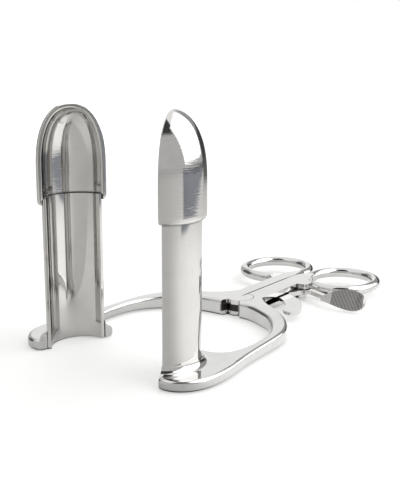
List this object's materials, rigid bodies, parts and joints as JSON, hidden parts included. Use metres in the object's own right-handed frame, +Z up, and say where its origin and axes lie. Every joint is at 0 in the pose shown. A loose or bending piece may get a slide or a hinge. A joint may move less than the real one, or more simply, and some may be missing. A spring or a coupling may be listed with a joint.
{
  "type": "bivalve speculum",
  "caption": "Hinged bivalve speculum with upright half-round blades, finger rings, a curved ratchet bar and a thumb lever that holds the blades apart.",
  "frame": {"origin": "on the pivot axis, at the flat underside of the lap joint", "axes": "+Z up along the pivot axis and the blades, +Y towards the finger rings, -Y towards the blades, +X towards the half that carries the release lever"},
  "size_m": [0.0812, 0.1586, 0.0874],
  "materials": {
    "satin_steel": "satin ground",
    "polished_steel": "mirror polished",
    "spring_steel": "rolled spring strip"
  },
  "bodies": {
    "left_half": {"left_frame": "satin_steel", "left_blade_shank": "polished_steel", "left_blade_tip": "polished_steel", "left_braze_fillet": "polished_steel", "pivot_pin": "satin_steel", "ratchet_bar": "satin_steel", "ratchet_rivets": "satin_steel"},
    "right_half": {"right_frame": "satin_steel", "right_blade_shank": "polished_steel", "right_blade_tip": "polished_steel", "right_braze_fillet": "polished_steel", "pawl_pin": "satin_steel", "pawl_spring": "spring_steel", "spring_pin": "satin_steel"},
    "release_lever": {"pawl_lever": "polished_steel"}
  },
  "joints": [
    {"name": "blade_hinge", "type": "hinge", "parent": "left_half", "child": "right_half", "pos_m": [0, 0, 0.0033], "axis": [0, 0, 1], "range_deg": [-35, 0]},
    {"name": "lever_hinge", "type": "hinge", "parent": "right_half", "child": "release_lever", "pos_m": [0.0093, 0.0343, 0.0033], "axis": [0, 0, 1], "range_deg": [0, 10], "stiffness_Nm_per_rad": 0.12, "springref_deg": -5.73, "deforming": ["pawl_spring"]}
  ]
}
